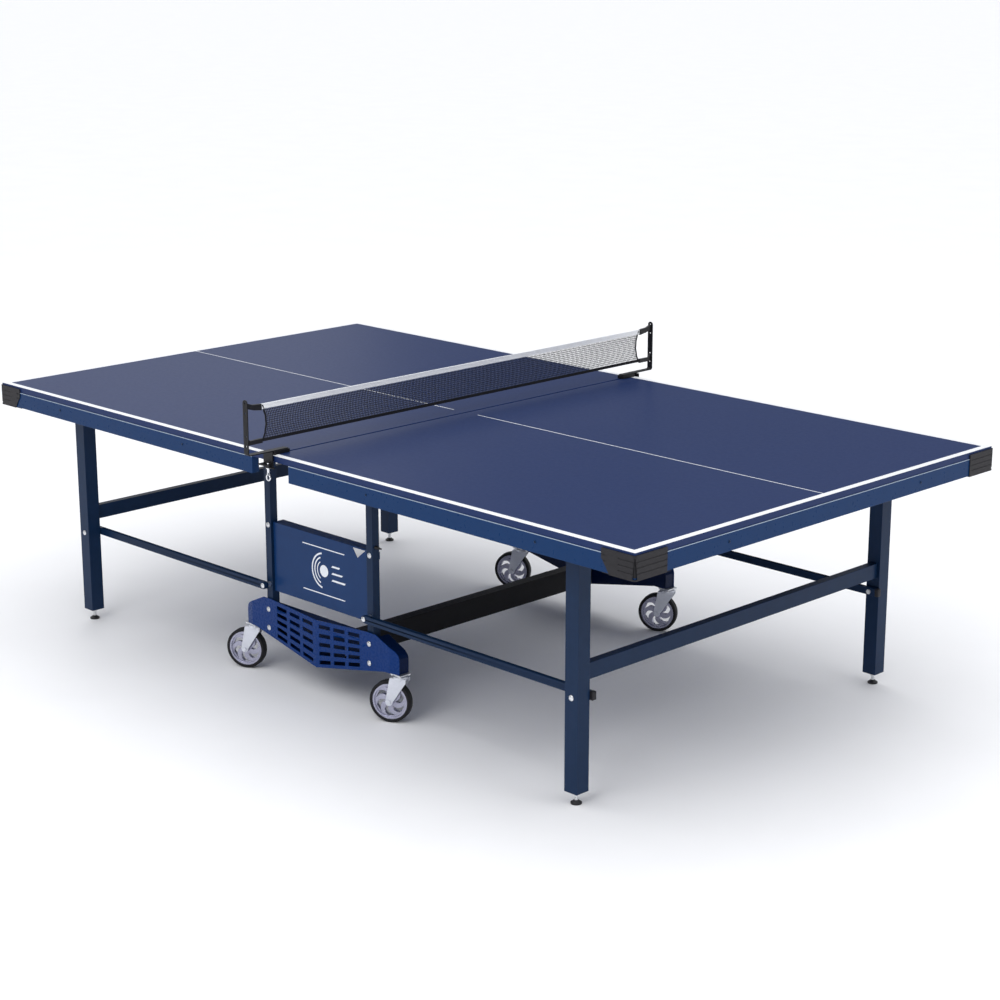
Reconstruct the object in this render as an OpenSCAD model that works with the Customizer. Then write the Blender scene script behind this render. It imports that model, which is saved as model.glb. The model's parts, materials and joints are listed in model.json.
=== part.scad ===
// Folding table tennis table on a wheeled chassis, with a clip-on net.
// +X runs along the table, +Y across it, +Z up. The origin is on the floor below the
// middle of the net. "near" is the -Y side and "far" the +Y side; "left" is the -X half.

/* [Table top] */
// Length of the playing surface
table_l = 2740; // [2400:10:2800]
// Width of the playing surface
table_w = 1525; // [1300:5:1550]
// Height of the playing surface above the floor
table_h = 760; // [740:1:780]
// Thickness of each board
board_t = 18; // [15:1:22]
// Clearance left at the net line by a half as it folds
fold_gap = 0.4; // [0.3:0.1:2]
// Height of the steel apron below the boards
apron_h = 50; // [35:1:60]
// Depth of the apron's channel
apron_d = 25; // [20:1:30]

/* [Legs] */
// Distance of the legs from the net line
leg_x = 1080; // [950:5:1150]
// Distance of the legs from the table's centre line
leg_y = 648; // [640:1:656]
// Width of a leg's square tube
leg_w = 45; // [40:1:46]
// Height of the middle of the bar between two legs
crossbar_z = 357.5; // [345:0.5:400]
// Height of a leg's lower end above the floor
leg_end_z = 34; // [30:1:45]

/* [Chassis] */
// Distance of the posts and their hinges from the net line
post_x = 226; // [222:1:230]
// Distance of the posts from the table's centre line
post_y = 584; // [582:1:585]
// Height of the fold hinges at the tops of the posts
hinge_z = 718; // [716:1:720]
// Height of the links between the posts and the legs
link_z = 295; // [285:1:300]
// Height of a link's bar
link_h = 22; // [18:1:24]

/* [Casters] */
// Diameter of a caster wheel
wheel_d = 125; // [100:1:130]
// Distance of the casters' swivel axes from the net line
caster_x = 328; // [320:1:330]
// Distance of a wheel's axle behind its swivel axis
trail = 30; // [20:1:34]
// Direction in which the wheels trail at rest
swivel_deg = 26; // [0:1:40]

/* [Net] */
// Height of the top edge of the net above the boards
net_top = 151; // [145:0.5:153]
// Gap between the boards and the bottom edge of the net
net_gap = 43; // [20:1:50]
// Distance of the net's ends from the table's centre line
net_end_y = 787; // [780:1:800]
// Distance of the net posts from the table's centre line
net_post_y = 845; // [835:1:900]

/* [Hidden] */
$fn = 48;
wall = 2;
fit = 0.08;
board_z = table_h - board_t;
half_l = table_l / 2;
half_w = table_w / 2;
apron_x0 = 80;
apron_out = 1.5;
apron_z = board_z - apron_h;
post_w = 26;
post_foot_z = 150;
fold_r = post_x - fold_gap;
plate_t = 3;
plate_gap = 0.6;
hinge_pin_r = 5;
link_pin_r = 4;
link_t = 14;
link_y = leg_y - leg_w / 2 - 2 - link_t / 2;
base_x = 342;
beam_w = 40;
base_in_y = 554;
base_wall = 2.5;
cover_y = 600;
cover_bow = 12;
cover_t = 2.5;
bend_x = 309.5;
bend_deg = 14;
cover_in_y = cover_y - cover_t - 0.5;
cover_bolt_z = [159, 217];
slot_rows = 5;
slot_h = 12;
slot_w = 48;
slot_pitch = 62;
caster_y = 576;
base_low_z = 148;
plate_z = base_low_z - 3;
wheel_r = wheel_d / 2;
rim_r = wheel_r - 9;
tyre_w = 26;
rim_w = 22;
hub_r = 12;
axle_r = 4;
fork_gap = 30;
fork_t = 3;
race_r = 17;
strap_w = 20;
strap_t = 3;
strap_z = table_h + 10.4;
post_top_z = table_h + 170;
screw_x = 12;
screw_y = 780;
net_t = 3;
link_l = leg_x - post_x;
link_stub = 28;
open_fit = 0.5;
panel_x = post_x - post_w / 2 - 0.5;
panel_y = 588;
panel_top = 486;
panel_bolt_z = 478;
panel_low_z = 275;
return_low_z = 300;
tab_h = 22;
base_mid_z = [92, 238];
base_peak = [214, 251];
base_flat_x = 290;
bow_l = 310;
pocket_x = 255;
pocket_z = [190, 226];
cut_z = base_peak[1] + 9;
slot_x0 = 14;
slot_edge = [16, 18];
slot_columns = 3;
beam_z = [97, 168];
drill_y = [500, 700];
post_plug = 16;
caster_plate_w = 42;
caster_bolt_x = 17;
neck_r = 8;
crown_r = 21;
crown_h = 9;
cheek_x = [-27, 22];
cheek_r = 11;
small_nut = 13;
large_nut = 16;
rim_gap = 0.2;
rim_t = 6;
web_t = 12;
window_r = [17, 44];
window_sweep = 36;
bracket_out = plate_gap + plate_t + 0.8;
bracket_x0 = 22;
bracket_r = 13;
cap_len = [110, 118];
cap_t = 3;
cap_gap = 0.3;
cap_floor_t = 1.6;
cap_round_r = 8;
groove_pitch = 15;
stem_r = 5;
link_wall = 1.5;
link_end = 24;
clamp_x = 20;
clamp_y = [767, 770.5];
tab_z = [733, 737];

// ---------- shared shapes ----------

// A box given by its lowest and highest corners.
module span_box(low, high) {
    translate(low)
        cube(high - low);
}

// A cylinder along Y from y0 to y1.
module rod_y(x, z, r, y0, y1) {
    translate([x, y1, z])
        rotate([90, 0, 0])
            cylinder(r = r, h = y1 - y0);
}

// A 2D outline in X and Z, extruded along Y from y0 to y1.
module slab_y(y0, y1) {
    translate([0, y1, 0])
        rotate([90, 0, 0])
            linear_extrude(y1 - y0)
                children();
}

// Children made for the right half and the far side, placed on side sx, sy.
module on_side(sx, sy) {
    mirror([sx < 0 ? 1 : 0, 0, 0])
        mirror([0, sy < 0 ? 1 : 0, 0])
            children();
}

// A rectangle with rounded corners, given by its lowest and highest corners.
module round_rect(low, high, r) {
    square_w = high[0] - low[0];
    square_h = high[1] - low[1];
    translate(low)
        union() {
            translate([r, 0])
                square([square_w - 2 * r, square_h]);
            translate([0, r])
                square([square_w, square_h - 2 * r]);
            for (x = [r, square_w - r], y = [r, square_h - r])
                translate([x, y])
                    circle(r);
        }
}

// A dome-headed bolt along Y whose head's flat is at y, with its head towards +Y.
module bolt_y(x, z, r, y0, y) {
    rod_y(x, z, r, y0, y + 0.01);
    translate([x, y, z])
        rotate([-90, 0, 0])
            intersection() {
                translate([0, 0, -2 * r])
                    sphere(r = 3 * r);
                cylinder(r = 2 * r, h = 2 * r);
            }
}

// A flat hexagonal nut along Y from y0 to y1.
module nut_y(x, z, across, y0, y1) {
    translate([x, y1, z])
        rotate([90, 0, 0])
            cylinder(d = across / cos(30), h = y1 - y0, $fn = 6);
}

// ---------- chassis ----------

// The +X half of the chassis side seen along Y, moved in by "inset" at its end and top
// and up by "low" along its lower edge.
function base_outline(inset, low) = [
    [0, base_mid_z[0] + low], [base_flat_x, base_low_z + low], [base_x - inset, base_low_z + low],
    [base_x - inset, 194], [base_x - inset - 4, 206 - inset], [base_x - inset - 14, 215 - inset],
    [320 - inset, 219 - inset], [252 - inset, 250 - inset], [base_peak[0], base_peak[1] - inset],
    [0, base_mid_z[1] - inset]
];

// Both halves of the chassis outline.
module base_profile(inset, low) {
    points = base_outline(inset, low);
    last = len(points) - 1;
    polygon(concat(points, [for (i = [last:-1:0]) [-points[i][0], points[i][1]]]));
}

// The load-carrying tray on one side: a back wall, a floor and boxed ends for the casters.
module base_channel_shape() {
    difference() {
        slab_y(base_in_y, cover_in_y)
            base_profile(4, 0);
        slab_y(base_in_y + wall, cover_in_y + 1)
            base_profile(4 + base_wall, base_wall);
        span_box([-pocket_x, base_in_y + wall, pocket_z[0]], [pocket_x, cover_in_y + 1, cut_z]);
        span_box([-pocket_x, base_in_y - 1, pocket_z[1]], [pocket_x, cover_in_y + 1, cut_z]);
        for (side = [0, 1])
            mirror([side, 0, 0])
                translate([bend_x, cover_y, 0])
                    rotate([0, 0, -bend_deg])
                        translate([-6, -cover_t - 0.3, 60])
                            cube([60, 30, 240]);
    }
}

// Height of slot row k's middle at x, spread evenly between the cover's two edges.
function slot_z(x, k) =
    let (
        low = base_mid_z[0] + slot_edge[0] + (base_low_z - base_mid_z[0]) * x / base_flat_x,
        high = base_mid_z[1] - slot_edge[1] + (base_peak[1] - base_mid_z[1]) * x / base_peak[0]
    )
    low + (high - low) * k / (slot_rows - 1);

// One slot of the cover, between x0 and x1 on row k.
module cover_slot(x0, x1, k) {
    polygon([
        [x0, slot_z(x0, k) - slot_h / 2], [x1, slot_z(x1, k) - slot_h / 2],
        [x1, slot_z(x1, k) + slot_h / 2], [x0, slot_z(x0, k) + slot_h / 2]
    ]);
}

// The +X half of a side cover: a slotted sheet that bows outwards to the net line.
module half_cover() {
    bow_deg = atan(cover_bow / bow_l);
    difference() {
        union() {
            translate([0, cover_y + cover_bow, 0])
                rotate([0, 0, -bow_deg])
                    slab_y(-cover_t, 0)
                        intersection() {
                            polygon(base_outline(0, 0));
                            square([bow_l, cut_z]);
                        }
            translate([bend_x, cover_y, 0])
                rotate([0, 0, -bend_deg])
                    translate([-bow_l, 0, 0])
                        slab_y(-cover_t, 0)
                            intersection() {
                                polygon(base_outline(0, 0));
                                translate([bend_x, 0])
                                    square([40, cut_z]);
                            }
        }
        for (k = [0:slot_rows - 1], c = [0:slot_columns - 1])
            slab_y(cover_y - 20, cover_y + 20)
                cover_slot(slot_x0 + slot_pitch * c, slot_x0 + slot_w + slot_pitch * c, k);
        for (z = cover_bolt_z)
            rod_y(post_x, z, link_pin_r + fit, cover_y - 20, cover_y + 20);
    }
}

module side_cover_shape() {
    half_cover();
    mirror([1, 0, 0])
        half_cover();
}

// A post: a rectangular tube with a rounded top around the fold hinge.
module post_shape() {
    difference() {
        union() {
            span_box(
                [post_x - post_w / 2, post_y - post_w / 2, post_foot_z],
                [post_x + post_w / 2, post_y + post_w / 2, hinge_z]
            );
            rod_y(post_x, hinge_z, post_w / 2, post_y - post_w / 2, post_y + post_w / 2);
        }
        span_box(
            [post_x - post_w / 2 + wall, post_y - post_w / 2 + wall, post_foot_z - 1],
            [post_x + post_w / 2 - wall, post_y + post_w / 2 - wall, hinge_z - post_plug]
        );
        rod_y(post_x, hinge_z, hinge_pin_r + fit, drill_y[0], drill_y[1]);
        rod_y(post_x, link_z, link_pin_r + fit, drill_y[0], drill_y[1]);
        for (z = cover_bolt_z)
            rod_y(post_x, z, link_pin_r + fit, post_y, drill_y[1]);
        rod_y(post_x, panel_bolt_z, link_pin_r + fit, drill_y[0], drill_y[1]);
    }
}

// The low beam that joins the two sides of the chassis.
module crossbeam() {
    color("#0b0c10")
        difference() {
            span_box([-beam_w / 2, -base_in_y, beam_z[0]], [beam_w / 2, base_in_y, beam_z[1]]);
            span_box(
                [-beam_w / 2 + wall, -base_in_y - 1, beam_z[0] + wall],
                [beam_w / 2 - wall, base_in_y + 1, beam_z[1] - wall]
            );
        }
}

// The sheet behind the bats: a pan with a flange along its top, a notched corner and
// side returns that end in tabs bolted behind the posts.
module rack_panel() {
    depth = 38;
    tab_y = post_y - post_w / 2 - 0.5;
    color("#1d3357")
        mirror([0, 1, 0]) {
            difference() {
                slab_y(panel_y - wall, panel_y)
                    translate([-panel_x, panel_low_z])
                        square([2 * panel_x, panel_top - panel_low_z]);
                slab_y(panel_y - wall - 1, panel_y + 1)
                    polygon([[143, panel_top - 2], [198, panel_top - 2], [163, 456]]);
            }
            span_box([-panel_x, panel_y - depth, panel_top], [panel_x, panel_y, panel_top + wall]);
            for (s = [-1, 1])
                mirror([s < 0 ? 1 : 0, 0, 0])
                    difference() {
                        union() {
                            span_box(
                                [panel_x - wall, tab_y - wall, return_low_z],
                                [panel_x, panel_y, panel_top]
                            );
                            span_box(
                                [panel_x - wall, tab_y - wall, panel_top - tab_h],
                                [post_x + post_w / 2, tab_y, panel_top]
                            );
                        }
                        rod_y(post_x, panel_bolt_z, link_pin_r + fit, drill_y[0], drill_y[1]);
                    }
        }
}

// The four fixed top plates of the casters, each with a raceway and four bolt heads.
module caster_plates() {
    color("#c9ccd2")
        for (sx = [-1, 1], sy = [-1, 1])
            on_side(sx, sy)
                translate([caster_x, caster_y, plate_z]) {
                    difference() {
                        union() {
                            translate([-caster_plate_w / 2, -caster_plate_w / 2, 0])
                                cube([caster_plate_w, caster_plate_w, plate_t]);
                            translate([0, 0, -5])
                                cylinder(r = race_r, h = 5.5);
                        }
                        translate([0, 0, -6])
                            cylinder(r = neck_r + fit, h = 10);
                    }
                    for (x = [-caster_bolt_x, caster_bolt_x], y = [-caster_bolt_x, caster_bolt_x])
                        translate([x, y, -3])
                            cylinder(d = 7 / cos(30), h = 3, $fn = 6);
                }
}

// The bolts that hold the covers and the panel to the posts, and a small pointed peg.
module chassis_bolts() {
    y_in = post_y - post_w / 2;
    color("#d5d7db")
        for (sx = [-1, 1], sy = [-1, 1])
            on_side(sx, sy)
                for (z = cover_bolt_z)
                    bolt_y(post_x, z, link_pin_r, post_y + post_w / 2 - wall - 4, cover_y + 3.8);
    color("#d5d7db")
        for (sx = [-1, 1])
            on_side(sx, -1) {
                bolt_y(post_x, panel_bolt_z, link_pin_r, y_in - 9, post_y + post_w / 2 + fit);
                nut_y(post_x, panel_bolt_z, small_nut, y_in - 7.5, y_in - 0.5 - wall - fit);
            }
    color("#17181b")
        translate([post_x + post_w / 2 + fit, -post_y, panel_top + 16])
            rotate([0, 90, 0])
                cylinder(r1 = 6, r2 = 1.5, h = 24);
}

// The hinge bolts at the tops of the posts and the shouldered link bolts below them.
module pivot_bolts() {
    y_in = post_y - post_w / 2;
    y_out = post_y + post_w / 2;
    color("#d5d7db")
        for (sx = [-1, 1], sy = [-1, 1])
            on_side(sx, sy) {
                bolt_y(post_x, hinge_z, hinge_pin_r, y_in - 14, y_out + bracket_out);
                nut_y(post_x, hinge_z, large_nut, y_in - 12, y_in - bracket_out);
                bolt_y(post_x, link_z, link_pin_r, y_in - 8, link_y + link_t / 2 + 0.5);
                nut_y(post_x, link_z, small_nut, y_in - 6, y_in - fit);
                rod_y(post_x, link_z, 8, y_out + fit, link_y - link_t / 2 - 0.5);
            }
}

// ---------- casters ----------

// Children made around a caster's swivel axis at floor level, turned as the caster is.
module on_caster(sx, sy) {
    translate([sx * caster_x, sy * caster_y, 0])
        rotate([0, 0, swivel_deg])
            children();
}

// A swivel fork with a raceway, two tapered cheeks and the wheel's axle bolt.
module fork(sx, sy) {
    top_z = plate_z - 5.4;
    color("#d9dbdf")
        on_caster(sx, sy) {
            difference() {
                union() {
                    translate([0, 0, top_z - crown_h])
                        cylinder(r = crown_r, h = crown_h);
                    translate([0, 0, top_z - 0.1])
                        cylinder(r = neck_r, h = base_low_z - 0.2 - top_z);
                    for (s = [-1, 1])
                        slab_y(
                            s > 0 ? fork_gap / 2 : -fork_gap / 2 - fork_t,
                            s > 0 ? fork_gap / 2 + fork_t : -fork_gap / 2
                        )
                            union() {
                                polygon([
                                    [cheek_x[0], top_z - 4], [cheek_x[1], top_z - 4],
                                    [cheek_x[1], top_z - 14],
                                    [-trail + cheek_r, wheel_r], [-trail - cheek_r, wheel_r]
                                ]);
                                translate([-trail, wheel_r])
                                    circle(cheek_r);
                            }
                    translate([cheek_x[0], -fork_gap / 2 - fork_t, top_z - 7])
                        cube([cheek_x[1] - cheek_x[0], fork_gap + 2 * fork_t, fork_t]);
                }
                translate([0, 0, top_z - 30])
                    cylinder(r = 14, h = 21);
                rod_y(-trail, wheel_r, axle_r + fit, -40, 40);
            }
        }
    color("#b9bcc2")
        on_caster(sx, sy) {
            bolt_y(-trail, wheel_r, axle_r, -fork_gap / 2 - fork_t - 2, fork_gap / 2 + fork_t + fit);
            nut_y(-trail, wheel_r, 12, -fork_gap / 2 - fork_t - 5, -fork_gap / 2 - fork_t - fit);
        }
}

// Points along one side of an opening between spokes, swept forwards and widening outwards.
function opening_side(s) = [
    for (i = [0:8])
        let (
            t = i / 8,
            r = window_r[0] + (window_r[1] - window_r[0]) * t,
            a = window_sweep * t * t + s * (6 + 10 * sin(90 * t))
        )
            [r * cos(a), r * sin(a)]
];

// One opening between two spokes.
module spoke_window() {
    outer = opening_side(1);
    polygon(concat(opening_side(-1), [for (i = [8:-1:0]) outer[i]]));
}

// A wheel centre with six swept spokes around a bored hub.
module wheel(sx, sy) {
    color("#8f929e")
        on_caster(sx, sy)
            translate([-trail, 0, wheel_r])
                rotate([90, 0, 0])
                    difference() {
                        union() {
                            translate([0, 0, -rim_w / 2])
                                linear_extrude(rim_w)
                                    difference() {
                                        circle(rim_r - rim_gap);
                                        circle(rim_r - rim_t);
                                    }
                            translate([0, 0, -web_t / 2])
                                linear_extrude(web_t)
                                    difference() {
                                        circle(rim_r - rim_t + 1);
                                        for (a = [0:60:300])
                                            rotate(a)
                                                spoke_window();
                                    }
                            translate([0, 0, -fork_gap / 2 + 0.6])
                                cylinder(r = hub_r, h = fork_gap - 1.2);
                        }
                        translate([0, 0, -30])
                            cylinder(r = axle_r + fit, h = 60);
                    }
}

// A solid rubber tyre with rounded shoulders.
module tyre(sx, sy) {
    shoulder = 4.4;
    color("#17181b")
        on_caster(sx, sy)
            translate([-trail, 0, wheel_r])
                rotate([90, 0, 0])
                    rotate_extrude($fn = 96)
                        union() {
                            translate([rim_r, -tyre_w / 2])
                                square([wheel_r - rim_r - shoulder, tyre_w]);
                            translate([rim_r, -tyre_w / 2 + shoulder])
                                square([wheel_r - rim_r, tyre_w - 2 * shoulder]);
                            for (s = [-1, 1])
                                translate([wheel_r - shoulder, s * (tyre_w / 2 - shoulder)])
                                    circle(shoulder);
                        }
}

// ---------- table halves ----------

// Distance from the net line at which height z of a board's inner edge clears it in folding.
function edge_x(z) = post_x - sqrt(fold_r * fold_r - (z - hinge_z) * (z - hinge_z));

// One board. Its inner edge leans back so that both halves can fold at the same time.
module board(sx) {
    color("#23345f")
        on_side(sx, 1)
            slab_y(-half_w, half_w)
                polygon([
                    [edge_x(board_z), board_z], [half_l, board_z], [half_l, table_h],
                    [edge_x(table_h), table_h]
                ]);
}

// The steel apron: a channel, open to the inside, along two sides and the outer end.
module apron(sx) {
    x1 = half_l + apron_out;
    y1 = half_w + apron_out;
    z0 = apron_z;
    z1 = board_z - 0.2;
    color("#10285a")
        on_side(sx, 1)
            difference() {
                span_box([apron_x0, -y1, z0], [x1, y1, z1]);
                span_box(
                    [apron_x0 - 1, -y1 + apron_d, z0 - 1],
                    [x1 - apron_d, y1 - apron_d, z1 + 1]
                );
                span_box(
                    [apron_x0 + wall, -y1 + wall, z0 + wall],
                    [x1 - wall, y1 - wall, z1 - wall]
                );
            }
}

// The outline of a corner cap seen from above, around the corner of the table.
module cap_ring(out, inner) {
    x1 = half_l + apron_out + out;
    y1 = half_w + apron_out + out;
    x0 = half_l + apron_out + inner;
    y0 = half_w + apron_out + inner;
    reach = 300;
    beyond = 400;
    difference() {
        round_rect([x1 - reach, y1 - reach], [x1, y1], cap_round_r);
        translate([x0 - beyond, y0 - beyond])
            square([beyond, beyond]);
        translate([x1 - reach - 1, y1 - reach - 1])
            square([reach + 1 - cap_len[0], beyond]);
        translate([x1 - reach - 1, y1 - reach - 1])
            square([beyond, reach + 1 - cap_len[1]]);
    }
}

// A moulded corner cap with three grooves and a wedge-shaped opening at the corner.
module corner_cap(sx, sy) {
    z0 = apron_z - 2;
    color("#26282d")
        on_side(sx, sy)
            difference() {
                union() {
                    translate([0, 0, z0])
                        linear_extrude(cap_floor_t)
                            cap_ring(cap_t, -18);
                    translate([0, 0, z0])
                        linear_extrude(board_z - z0)
                            cap_ring(cap_t, cap_gap);
                    translate([0, 0, board_z])
                        linear_extrude(board_t - 6)
                            cap_ring(cap_t, cap_gap - apron_out);
                }
                for (k = [1:3])
                    translate([0, 0, z0 + groove_pitch * k + 2])
                        linear_extrude(3)
                            difference() {
                                cap_ring(cap_t + 1, cap_t - 1.1);
                                translate([half_l - 90, half_w - 300])
                                    square([40, 400]);
                            }
                slab_y(half_w, half_w + 10)
                    polygon([
                        [half_l - 110, z0 - 1], [half_l - 78, z0 - 1], [half_l - 96, z0 + 26],
                        [half_l - 110, z0 + 44]
                    ]);
                translate([half_l, half_w, 0])
                    rotate([0, 0, -45])
                        slab_y(-20, 20)
                            polygon([[-6, z0 + 4], [6, z0 + 4], [1.2, z0 + 58], [-1.2, z0 + 58]]);
            }
}

// A pair of bracket plates on both sides of a tube w wide, hung from the board around x, y.
module bracket_pair(x, y, w, pin_r) {
    for (s = [-1, 1])
        difference() {
            slab_y(
                y + s * (w / 2 + plate_gap) - (s > 0 ? 0 : plate_t),
                y + s * (w / 2 + plate_gap) + (s > 0 ? plate_t : 0)
            )
                union() {
                    polygon([
                        [x - bracket_x0, board_z - 0.2], [x + 26, board_z - 0.2],
                        [x + 11, hinge_z - 4], [x - 11, hinge_z - 4]
                    ]);
                    translate([x, hinge_z])
                        circle(bracket_r);
                }
            rod_y(x, hinge_z, pin_r + fit, y - 60, y + 60);
        }
}

// The welded rails and hinge brackets below one board.
module under_frame(sx) {
    z1 = board_z - 0.2;
    rail = 24;
    flat_t = 9;
    flat_w = 34;
    rail_gap = 36;
    rail_x = [post_x + rail_gap, leg_x + rail_gap];
    color("#0c0e13")
        on_side(sx, 1) {
            for (sy = [-1, 1])
                on_side(1, sy) {
                    bracket_pair(post_x, post_y, post_w, hinge_pin_r);
                    bracket_pair(leg_x, leg_y, leg_w, hinge_pin_r);
                    span_box(
                        [post_x - bracket_x0, post_y - flat_w / 2, z1 - flat_t],
                        [rail_x[1] + rail, post_y + flat_w / 2, z1]
                    );
                    span_box(
                        [leg_x + bracket_x0, post_y, z1 - flat_t],
                        [rail_x[1] + rail, leg_y + leg_w / 2 + plate_gap + plate_t, z1]
                    );
                }
            for (x = rail_x)
                difference() {
                    span_box([x, -post_y + 10, z1 - rail], [x + rail, post_y - 10, z1]);
                    span_box(
                        [x + wall, -post_y + 9, z1 - rail + wall],
                        [x + rail - wall, post_y - 9, z1 - wall]
                    );
                }
        }
}

// ---------- legs ----------

// A leg: a square tube with a round hinge end, a floor plate and bores for its bolts.
module leg(sx, sy) {
    hinge_r = leg_w / 2 - 0.5;
    color("#152a4c")
        on_side(sx, sy)
            difference() {
                union() {
                    span_box(
                        [leg_x - leg_w / 2, leg_y - leg_w / 2, leg_end_z],
                        [leg_x + leg_w / 2, leg_y + leg_w / 2, hinge_z]
                    );
                    rod_y(leg_x, hinge_z, hinge_r, leg_y - leg_w / 2, leg_y + leg_w / 2);
                }
                span_box(
                    [leg_x - leg_w / 2 + wall, leg_y - leg_w / 2 + wall, leg_end_z + 6],
                    [leg_x + leg_w / 2 - wall, leg_y + leg_w / 2 - wall, hinge_z + 40]
                );
                rod_y(leg_x, hinge_z, hinge_pin_r + fit, leg_y - 40, leg_y + 40);
                rod_y(leg_x, link_z, link_pin_r + fit, leg_y - 40, leg_y + 40);
                translate([leg_x, leg_y, leg_end_z - 1])
                    cylinder(r = stem_r + fit, h = 8);
            }
}

// The bar between the two legs of one half.
module leg_crossbar(sx) {
    bar_h = 45;
    bar_t = 25;
    reach = leg_y - leg_w / 2 - fit;
    color("#132746")
        on_side(sx, 1)
            difference() {
                span_box(
                    [leg_x - bar_t / 2, -reach, crossbar_z - bar_h / 2],
                    [leg_x + bar_t / 2, reach, crossbar_z + bar_h / 2]
                );
                span_box(
                    [leg_x - bar_t / 2 + wall, -reach - 1, crossbar_z - bar_h / 2 + wall],
                    [leg_x + bar_t / 2 - wall, reach + 1, crossbar_z + bar_h / 2 - wall]
                );
            }
}

// The hinge bolts and link bolts of one pair of legs.
module leg_bolts(sx) {
    y_in = leg_y - leg_w / 2;
    y_out = leg_y + leg_w / 2;
    color("#d5d7db")
        for (sy = [-1, 1])
            on_side(sx, sy) {
                bolt_y(leg_x, hinge_z, hinge_pin_r, y_in - 14, y_out + bracket_out);
                nut_y(leg_x, hinge_z, large_nut, y_in - 12, y_in - bracket_out);
                bolt_y(leg_x, link_z, link_pin_r, link_y - link_t / 2 - 8, y_out + fit);
                nut_y(leg_x, link_z, small_nut, link_y - link_t / 2 - 6.5, link_y - link_t / 2 - 0.5);
            }
}

// A levelling foot: a pad, a threaded stem and the jam nut that stops it under the leg.
module foot(sx, sy) {
    color("#2a2c30")
        translate([sx * leg_x, sy * leg_y, 0])
            union() {
                cylinder(r = 15, h = 4);
                translate([0, 0, 4])
                    cylinder(r1 = 13, r2 = 7, h = 6);
                cylinder(r = stem_r, h = leg_end_z + 26);
                translate([0, 0, leg_end_z - 8.4])
                    cylinder(d = 17 / cos(30), h = 8, $fn = 6);
            }
}

// A link bar between a post and a leg, with a round end at the post.
module link(sx, sy) {
    color("#1b3663")
        on_side(sx, sy)
            difference() {
                slab_y(link_y - link_t / 2, link_y + link_t / 2)
                    union() {
                        translate([post_x, link_z - link_h / 2])
                            square([link_l + link_stub, link_h]);
                        translate([post_x, link_z])
                            circle(link_h / 2);
                    }
                span_box(
                    [post_x + link_end, link_y - link_t / 2 + link_wall, link_z - link_h / 2 + link_wall],
                    [leg_x - link_end, link_y + link_t / 2 - link_wall, link_z + link_h / 2 + 1]
                );
                rod_y(post_x, link_z, link_pin_r + fit, link_y - 20, link_y + 20);
                rod_y(leg_x, link_z, link_pin_r + open_fit, link_y - 20, link_y + 20);
            }
}

// ---------- net ----------

// A net post: a drilled strap bent under to a foot that stands on the boards' joint.
module net_bracket(sy) {
    bend_r = 8;
    y0 = net_post_y - strap_t / 2;
    y1 = net_post_y + strap_t / 2;
    color("#1b1c20")
        on_side(1, sy) {
            difference() {
                union() {
                    span_box([-strap_w / 2, y0, strap_z + bend_r],
                        [strap_w / 2, y1, post_top_z - strap_w / 2]);
                    rod_y(0, post_top_z - strap_w / 2, strap_w / 2, y0, y1);
                }
                for (z = [post_top_z - 9, post_top_z - 38, table_h + 66, table_h + 38])
                    rod_y(0, z, 2.6, y0 - 1, y1 + 1);
            }
            translate([-strap_w / 2, y1 - bend_r, strap_z + bend_r])
                rotate([90, 0, 90])
                    linear_extrude(strap_w)
                        intersection() {
                            difference() {
                                circle(bend_r);
                                circle(bend_r - strap_t);
                            }
                            translate([0, -bend_r])
                                square([bend_r, bend_r]);
                        }
            span_box([-strap_w / 2, 704, strap_z], [strap_w / 2, y1 - bend_r, strap_z + strap_t]);
            span_box([-12, 700, table_h + 0.4], [12, 758, strap_z]);
            span_box([-clamp_x, clamp_y[0], tab_z[0]], [clamp_x, clamp_y[1], strap_z]);
            difference() {
                span_box([-clamp_x, clamp_y[1], tab_z[0]], [26, screw_y + 10, tab_z[1]]);
                translate([screw_x, screw_y, 730])
                    cylinder(r = 3 + fit, h = 10);
            }
        }
}

// The four moulded arms that carry the net's cords, two on each post.
module net_arms() {
    y0 = net_post_y - strap_t / 2 - 0.1;
    upper = [[y0, 921], [y0 - 22, 913], [790, 911], [790, 893], [y0 - 26, 897], [y0 - 6, 903], [y0, 903]];
    lower = [[y0, 822], [y0 - 9, 812], [790, 813], [790, 800], [y0, 800]];
    color("#141518")
        for (sy = [-1, 1])
            on_side(1, sy)
                for (arm = [upper, lower])
                    translate([-4, 0, 0])
                        rotate([90, 0, 90])
                            linear_extrude(8)
                                polygon(arm);
}

// A swing jaw on the clamp's eye screw, drawn in its open position.
module clamp_jaw(sy) {
    color("#1b1c20")
        on_side(1, sy)
            translate([screw_x, screw_y, 728.5])
                difference() {
                    union() {
                        cylinder(r = 9, h = 4);
                        linear_extrude(4)
                            polygon([[4, -8], [28, -2], [28, 2], [4, 8]]);
                    }
                    translate([0, 0, -1])
                        cylinder(r = 3 + fit, h = 6);
                }
}

// The eye screw that turns the jaw: a shank with a collar and a long ring handle.
module eye_screw(sy) {
    ring_z = 699;
    color("#dfe1e5")
        on_side(1, sy)
            translate([screw_x, screw_y, 0])
                union() {
                    translate([0, 0, ring_z + 12])
                        cylinder(r = 3, h = 742 - ring_z - 12);
                    translate([0, 0, 725.4])
                        cylinder(r = 6, h = 2.9);
                    translate([0, 0, ring_z])
                        rotate([90, 0, 0])
                            rotate_extrude()
                                translate([8, 0])
                                    circle(2, $fn = 24);
                    translate([0, 0, ring_z + 7])
                        cylinder(r1 = 4.5, r2 = 3, h = 8);
                }
}

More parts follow.
